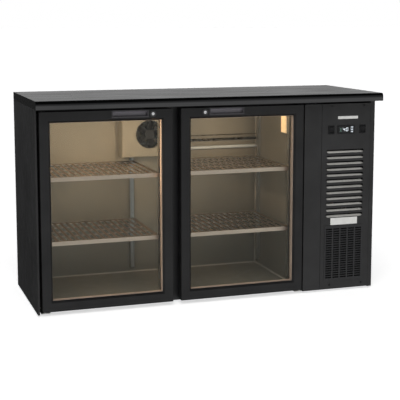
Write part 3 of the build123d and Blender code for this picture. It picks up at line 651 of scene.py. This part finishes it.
def display_digits():
    """Seven-segment reading on the controller's window."""
    low = mm_box("thermostat_window")[0]
    bm = bmesh.new()
    for x, keys in DIGITS:
        for key in keys:
            add_segment(bm, low.x + x, low.z + DIGIT_BASE, key, print_depths(low.y))
    finish_piece("display_digits", bm, "cabinet", "digit")


def display_icons():
    """Three small diamonds beside the reading."""
    low = mm_box("thermostat_window")[0]
    left, middle, right = (low.x + x for x in ICON_X)
    bm = bmesh.new()
    for step in range(ICON_COUNT):
        z = low.z + DIGIT_BASE + ICON_PITCH * step
        outline = [(left, z), (middle, z + ICON_HALF_HEIGHT), (right, z),
                   (middle, z - ICON_HALF_HEIGHT)]
        add_prism(bm, outline, place_front, print_depths(low.y))
    finish_piece("display_icons", bm, "cabinet", "icon")


KEY_MARK_SUNK = 0.05
KEY_MARK_PROUD = 0.12
KEY_MARKS = {
    "set": ((-2.2, -0.9), (2.2, -0.9), (2.2, 0.9), (-2.2, 0.9)),
    "up": ((-2.2, -1.3), (2.2, -1.3), (0, 1.6)),
    "down": ((-2.2, 1.3), (0, -1.6), (2.2, 1.3)),
}


def key_marks():
    """Raised generic marks on the three keys."""
    for key, outline in KEY_MARKS.items():
        low, high = mm_box(f"button_{key}")
        middle = (low + high) / 2
        points = [(middle.x + x, middle.z + z) for x, z in outline]
        bm = bmesh.new()
        depths = (low.y + KEY_MARK_SUNK, low.y - KEY_MARK_PROUD)
        add_prism(bm, points, place_front, depths)
        finish_piece(f"key_mark_{key}", bm, f"key_{key}", "digit")


LINER_LOW = Vector((46.0, 61.0, 36.0))     # the store's inside, corner to corner
LINER_HIGH = Vector((1096.0, 469.0, 775.0))
LAMP_Y = (87.2, 141.8)
LAMP_Z = (679.0, 751.0)
LAMP_BASE = 12.0        # from the wall to the back of the diffuser
LAMP_FACE = 14.9        # and to the tips of its ribs
RIB_COUNT = 14
RIB_PITCH = 5.14
RIB_HEIGHT = 1.1
RIB_FLAT = (1.6, 3.5)   # where a rib's flat tip starts and ends


def lamp_diffusers():
    """Ribbed lens of each lamp, one on each side wall of the store."""
    bm = bmesh.new()
    for wall, sign in ((LINER_LOW.x, 1), (LINER_HIGH.x, -1)):
        base, face = wall + LAMP_BASE * sign, wall + LAMP_FACE * sign
        valley = face - RIB_HEIGHT * sign
        outline = []
        for rib in range(RIB_COUNT):
            z = LAMP_Z[0] + RIB_PITCH * rib
            outline += [(valley, z), (face, z + RIB_FLAT[0]), (face, z + RIB_FLAT[1])]
        outline += [(valley, LAMP_Z[1]), (base, LAMP_Z[1]), (base, LAMP_Z[0])]
        add_prism(bm, outline, place_front, LAMP_Y)
    lens = finish_piece("lamp_diffusers", bm, "cabinet", "lens")
    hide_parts("lamp_lenses")


VENT_X = (1168.0, 1402.0)
VENT_BOTTOM = 318.0
VENT_GAP = 8.0          # from the back sheet's outer face in to the filter
PLEAT_PITCH = 8.0
PLEAT_DEPTH = 3.0
PLEAT_COUNT = 54
FELT_THICK = 0.8


def vent_filter():
    """Pleated dust filter inside the vents of the back sheet."""
    y = mm_box("back_panel")[1].y - VENT_GAP
    near, far = [], []
    for row in range(PLEAT_COUNT + 1):
        depth = PLEAT_DEPTH if row % 2 else 0.0
        z = VENT_BOTTOM + row * PLEAT_PITCH
        near.append((y + depth, z))
        far.append((y + depth + FELT_THICK, z))
    bm = bmesh.new()
    add_prism(bm, near + far[::-1], lambda p, x: at(x, p[0], p[1]), VENT_X)
    finish_piece("vent_filter", bm, "cabinet", "felt")


SEAL_SIZE = 5.0
SEAL_TURNS = (0, 22, 45, 68, 90)
SEAL_START = 32.0       # behind the liner's front edge


def liner_sealant():
    """Hollow-faced beads of sealant in the liner's corners."""
    bead = [(0, 0)]
    for turn in SEAL_TURNS:
        angle = math.radians(turn)
        bead.append((SEAL_SIZE * (1 - math.sin(angle)), SEAL_SIZE * (1 - math.cos(angle))))
    low, high = LINER_LOW, LINER_HIGH
    levels = ((1, low.z), (-1, high.z))
    bm = bmesh.new()
    for sx, x in ((1, low.x), (-1, high.x)):
        add_prism(bm, bead, lambda p, z: at(x + sx * p[0], high.y - p[1], z), (low.z, high.z))
        for sz, z in levels:
            depths = (low.y + SEAL_START, high.y)
            add_prism(bm, bead, lambda p, y: at(x + sx * p[0], y, z + sz * p[1]), depths)
    for sz, z in levels:
        add_prism(bm, bead, lambda p, x: at(x, high.y - p[0], z + sz * p[1]), (low.x, high.x))
    finish_piece("liner_sealant", bm, "cabinet", "seal")


for side in SIDES:
    bellows_gasket(side)
louvre_trims()
filter_mesh()
display_digits()
display_icons()
key_marks()
lamp_diffusers()
vent_filter()
liner_sealant()


# ---- floor, lights and camera
FLOOR_HALF = 120.0      # metres; its edge is the horizon of low views
FLOOR_GLOW = 0.62       # keeps the floor near white under the soft light


def floor():
    """Pale floor, left out of reflections so that only the soft boxes show in gloss."""
    corners = [(x * FLOOR_HALF, y * FLOOR_HALF, 0) for x, y in ((-1, -1), (1, -1), (1, 1), (-1, 1))]
    mesh = bpy.data.meshes.new("floor")
    mesh.from_pydata(corners, [], [(0, 1, 2, 3)])
    obj = bpy.data.objects.new("floor", mesh)
    bpy.context.scene.collection.objects.link(obj)
    look = Look("floor_look", (0.85, 0.85, 0.85), 0.8, specular=0.1)
    look.tint(look.noise(1.5, 3), (0.88, 0.88, 0.88))
    look.glow((1.0, 1.0, 1.0), FLOOR_GLOW)
    mesh.materials.append(look.mat)
    obj.visible_glossy = False


DIM_STUDIO = 0.03       # brightness between the soft boxes
SOFT_BOXES = (  # direction; full inside and gone outside these angles in degrees; strength
    ((0.42, 0.90, 0.14), 20, 33, 0.41),
    ((0.70, 0.62, -0.35), 18, 32, 0.85),
    ((0.30, -0.92, -0.25), 22, 38, 0.62),
    ((-0.64, -0.64, -0.42), 15, 40, 0.4),
    ((-0.64, 0.64, 0.42), 12, 35, 0.5),
    ((0.70, -0.65, 0.28), 10, 30, 0.4),
    ((-1.0, 0.0, 0.05), 10, 35, 0.4),
    ((1.0, 0.0, 0.0), 8, 30, 0.4),
    ((0.1, -0.35, 0.93), 8, 20, 0.07),
)


def soft_box(tree, coords, direction, inner, outer, strength):
    """Brightness of one round soft box as the world's nodes see it."""
    dot = tree.nodes.new("ShaderNodeVectorMath")
    dot.operation = "DOT_PRODUCT"
    dot.inputs[1].default_value = Vector(direction).normalized()
    tree.links.new(coords.outputs["Generated"], dot.inputs[0])
    soft = tree.nodes.new("ShaderNodeMapRange")
    soft.interpolation_type = "SMOOTHSTEP"
    limits = (math.cos(math.radians(outer)), math.cos(math.radians(inner)), 0.0, strength)
    for index, number in enumerate(limits, start=1):
        soft.inputs[index].default_value = number
    tree.links.new(dot.outputs["Value"], soft.inputs[0])
    return soft.outputs[0]


def world():
    """Plain white to look at; its light comes from soft boxes in a dim studio."""
    sky = bpy.data.worlds.new("studio")
    bpy.context.scene.world = sky
    sky.use_nodes = True
    tree = sky.node_tree
    coords = tree.nodes.new("ShaderNodeTexCoord")
    total = None
    for box in SOFT_BOXES:
        add = tree.nodes.new("ShaderNodeMath")
        add.inputs[1].default_value = DIM_STUDIO
        tree.links.new(soft_box(tree, coords, *box), add.inputs[0])
        if total is not None:
            tree.links.new(total, add.inputs[1])
        total = add.outputs[0]
    studio = tree.nodes["Background"]
    tree.links.new(total, studio.inputs["Color"])
    plain = tree.nodes.new("ShaderNodeBackground")
    plain.inputs["Color"].default_value = (1, 1, 1, 1)
    path = tree.nodes.new("ShaderNodeLightPath")
    mix = tree.nodes.new("ShaderNodeMixShader")
    tree.links.new(path.outputs["Is Camera Ray"], mix.inputs[0])
    tree.links.new(studio.outputs[0], mix.inputs[1])
    tree.links.new(plain.outputs[0], mix.inputs[2])
    tree.links.new(mix.outputs[0], tree.nodes["World Output"].inputs["Surface"])


SUN_ENERGY = 1.5
SUN_SPREAD = 40         # degrees
SUN_TURN = (38, 0, -20)  # degrees
WARM = (1.0, 0.76, 0.52)
LAMPS = (("left", 74.0, 1, 3.4), ("right", 1068.0, -1, 2.2))     # name, x, way it faces, power
POSTS = (("left", 519.0, -1, 2.8), ("right", 623.0, 1, 0.6))
LAMP_AREA = (0.055, 0.075)
STRIP_AREA = (0.02, 0.46)
JAMB_SHARE = 0.7        # a jamb strip's power against its lamp's


def aim_light(name, place, target, size, power):
    """Warm rectangular light that is itself not seen."""
    data = bpy.data.lights.new(name, "AREA")
    data.shape = "RECTANGLE"
    data.size, data.size_y = size
    data.energy = power
    data.color = WARM
    obj = bpy.data.objects.new(name, data)
    bpy.context.scene.collection.objects.link(obj)
    obj.location = place
    obj.rotation_euler = (target - place).to_track_quat("-Z", "Y").to_euler()
    obj.visible_camera = False
    obj.visible_glossy = False


def sky_light():
    """Broad light from above, in front and to the left."""
    data = bpy.data.lights.new("sky_light", "SUN")
    data.energy = SUN_ENERGY
    data.angle = math.radians(SUN_SPREAD)
    sun = bpy.data.objects.new("sky_light", data)
    bpy.context.scene.collection.objects.link(sun)
    sun.rotation_euler = [math.radians(turn) for turn in SUN_TURN]
    sun.visible_glossy = False


def store_lights():
    """The two lamps, and strips down the jambs and both sides of the centre post."""
    for name, x, way, power in LAMPS:
        lamp, jamb = at(x, 114, 715), at(x, 72, 510)
        aim_light(f"lamp_{name}", lamp, at(x + 300 * way, 144, 655), LAMP_AREA, power)
        aim_light(f"jamb_{name}", jamb, at(x + 260 * way, 130, 470), STRIP_AREA, JAMB_SHARE * power)
    for name, x, way, power in POSTS:
        aim_light(f"post_{name}", at(x, 80, 510), at(x + 160 * way, 380, 470), STRIP_AREA, power)


CAMERA_PLACE = (-1.393, -4.182, 1.160)
CAMERA_DOWN = 7.74      # degrees below level
CAMERA_TURN = -18.58    # degrees; looks from the left of the front
CAMERA_LENS = 93.64
CAMERA_SENSOR = 36.0
CAMERA_SHIFT = -0.1


def camera():
    data = bpy.data.cameras.new("camera")
    data.lens = CAMERA_LENS
    data.sensor_width = CAMERA_SENSOR
    data.shift_y = CAMERA_SHIFT
    obj = bpy.data.objects.new("camera", data)
    bpy.context.scene.collection.objects.link(obj)
    obj.location = CAMERA_PLACE
    obj.rotation_euler = (math.radians(90 - CAMERA_DOWN), 0.0, math.radians(CAMERA_TURN))
    bpy.context.scene.camera = obj


floor()
world()
sky_light()
store_lights()
camera()
bpy.context.scene.view_settings.view_transform = "Standard"
